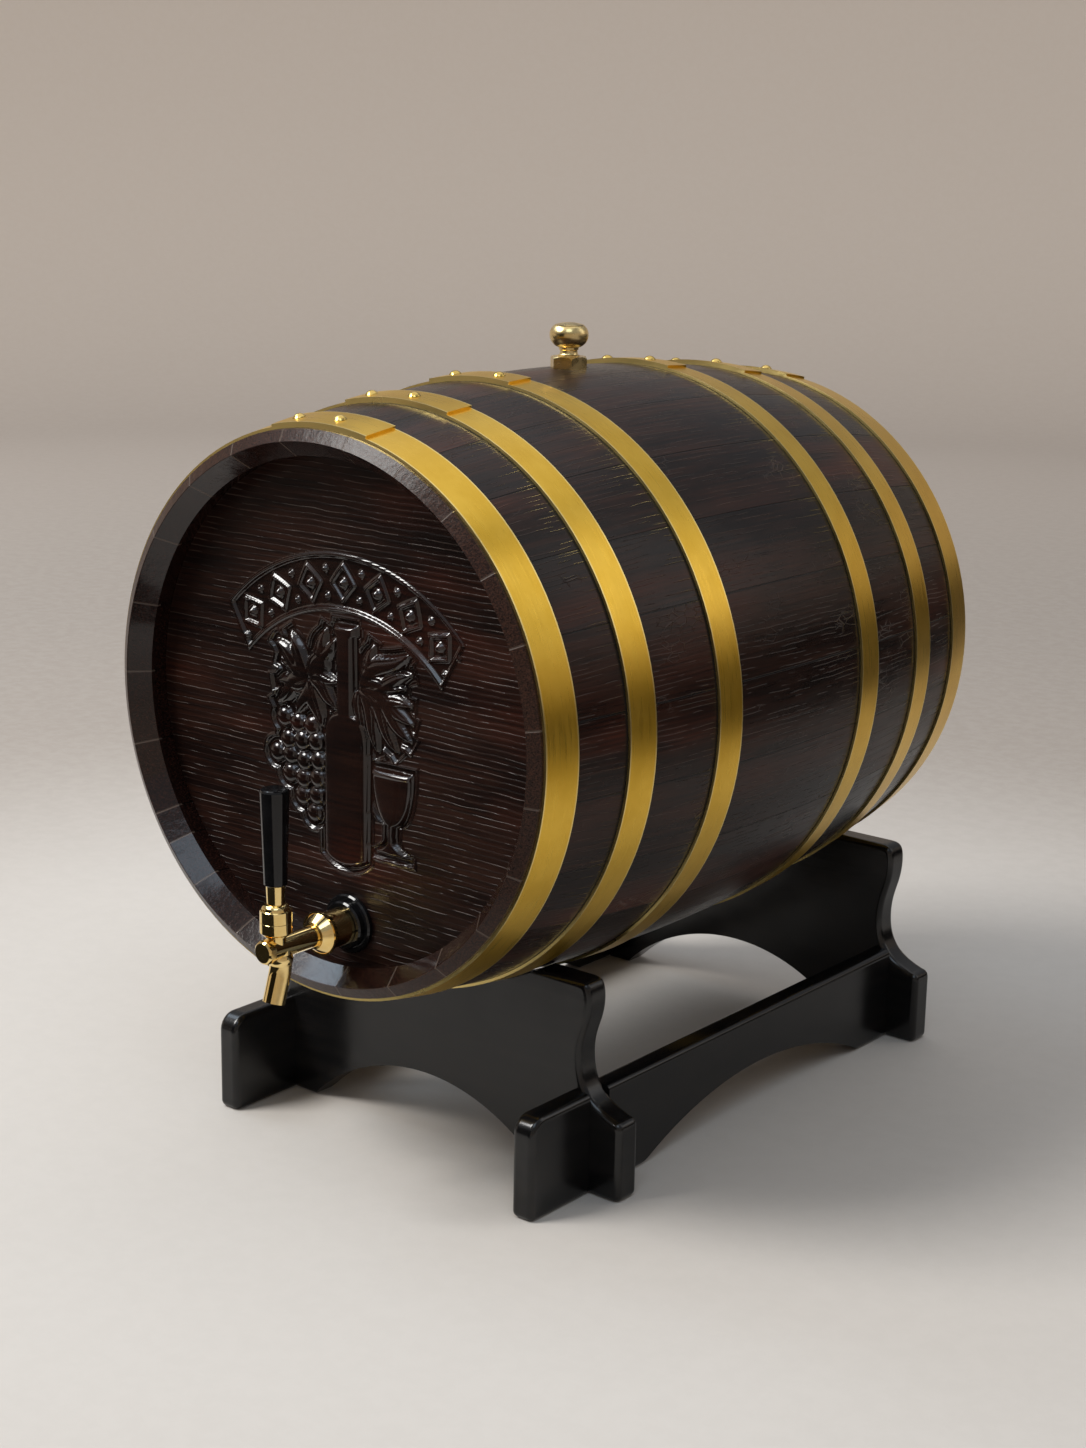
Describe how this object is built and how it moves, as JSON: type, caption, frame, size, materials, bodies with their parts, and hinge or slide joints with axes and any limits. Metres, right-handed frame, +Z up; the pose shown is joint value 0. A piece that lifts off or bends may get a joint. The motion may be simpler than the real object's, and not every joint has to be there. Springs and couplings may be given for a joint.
{
  "type": "cask drink dispenser",
  "caption": "Lying oak cask with brass hoops, a lever tap in its front head and a screw bung on top, resting in a cross-lapped wooden stand.",
  "frame": {"origin": "centre of the object's box, on the surface it stands on", "axes": "+Z up, the cask's axis along Y with the tap facing -Y, +X to the right seen from the front"},
  "size_m": [0.339, 0.4632, 0.46],
  "materials": {
    "stave_oak": "dark stained oak, clear lacquer",
    "head_oak": "dark stained oak, clear lacquer",
    "hoop_brass": "satin brass",
    "polished_brass": "polished brass",
    "black_rubber": "smooth black rubber",
    "white_plastic": "plain white plastic",
    "black_gloss": "gloss black",
    "black_lacquer": "gloss black lacquer on wood"
  },
  "bodies": {
    "stand": {"front_board": "black_lacquer", "rear_board": "black_lacquer", "left_rail": "black_lacquer", "right_rail": "black_lacquer"},
    "cask": {"stave_01": "stave_oak", "stave_02": "stave_oak", "stave_03": "stave_oak", "stave_04": "stave_oak", "stave_05": "stave_oak", "stave_06": "stave_oak", "stave_07": "stave_oak", "stave_08": "stave_oak", "stave_09": "stave_oak", "stave_10": "stave_oak", "stave_11": "stave_oak", "stave_12": "stave_oak", "stave_13": "stave_oak", "stave_14": "stave_oak", "stave_15": "stave_oak", "stave_16": "stave_oak", "stave_17": "stave_oak", "stave_18": "stave_oak", "stave_19": "stave_oak", "stave_20": "stave_oak", "stave_21": "stave_oak", "stave_22": "stave_oak", "stave_23": "stave_oak", "stave_24": "stave_oak", "front_head": "head_oak", "rear_head": "head_oak", "front_end_hoop": "hoop_brass", "front_quarter_hoop": "hoop_brass", "front_bilge_hoop": "hoop_brass", "rear_end_hoop": "hoop_brass", "rear_quarter_hoop": "hoop_brass", "rear_bilge_hoop": "hoop_brass", "hoop_rivets": "hoop_brass", "bung_bush": "polished_brass", "tap_shank": "polished_brass", "lock_nut": "polished_brass", "inner_washer": "black_rubber", "head_seal": "black_rubber", "shank_seal": "black_rubber", "coupling_nut": "polished_brass", "tail_washer": "black_rubber", "tap_body": "polished_brass", "front_cap": "polished_brass", "ball_seat": "white_plastic", "bonnet": "polished_brass"},
    "lever": {"lever": "polished_brass", "ferrule": "polished_brass", "handle_grip": "black_gloss"},
    "valve": {"valve_shaft": "polished_brass", "seat_washer": "black_rubber"},
    "bung_seal": {"bung_seal": "black_rubber"},
    "bung_plug": {"bung_plug": "polished_brass"}
  },
  "joints": [
    {"name": "cask_lift", "type": "slide", "parent": "stand", "child": "cask", "axis": [0, 0, 1], "range_m": [0, 0.15]},
    {"name": "lever_pull", "type": "hinge", "parent": "cask", "child": "lever", "pos_m": [0.005, -0.22135, 0.1546], "axis": [1, 0, 0], "range_deg": [0, 25]},
    {"name": "valve_slide", "type": "slide", "parent": "cask", "child": "valve", "axis": [0, 1, 0], "range_m": [0, 0.0029]},
    {"name": "bung_rise", "type": "slide", "parent": "cask", "child": "bung_seal", "axis": [0, 0, 1], "range_m": [0, 0.01349]},
    {"name": "bung_turn", "type": "hinge", "parent": "bung_seal", "child": "bung_plug", "pos_m": [0, 0.02165, 0.44075], "axis": [0, 0, 1], "range_deg": [0, 1080]}
  ],
  "couplings": [
    {"joint": "valve_slide", "follows": "lever_pull", "m_per_rad": 0.0064},
    {"joint": "bung_turn", "follows": "bung_rise", "rad_per_m": 1396.3}
  ]
}
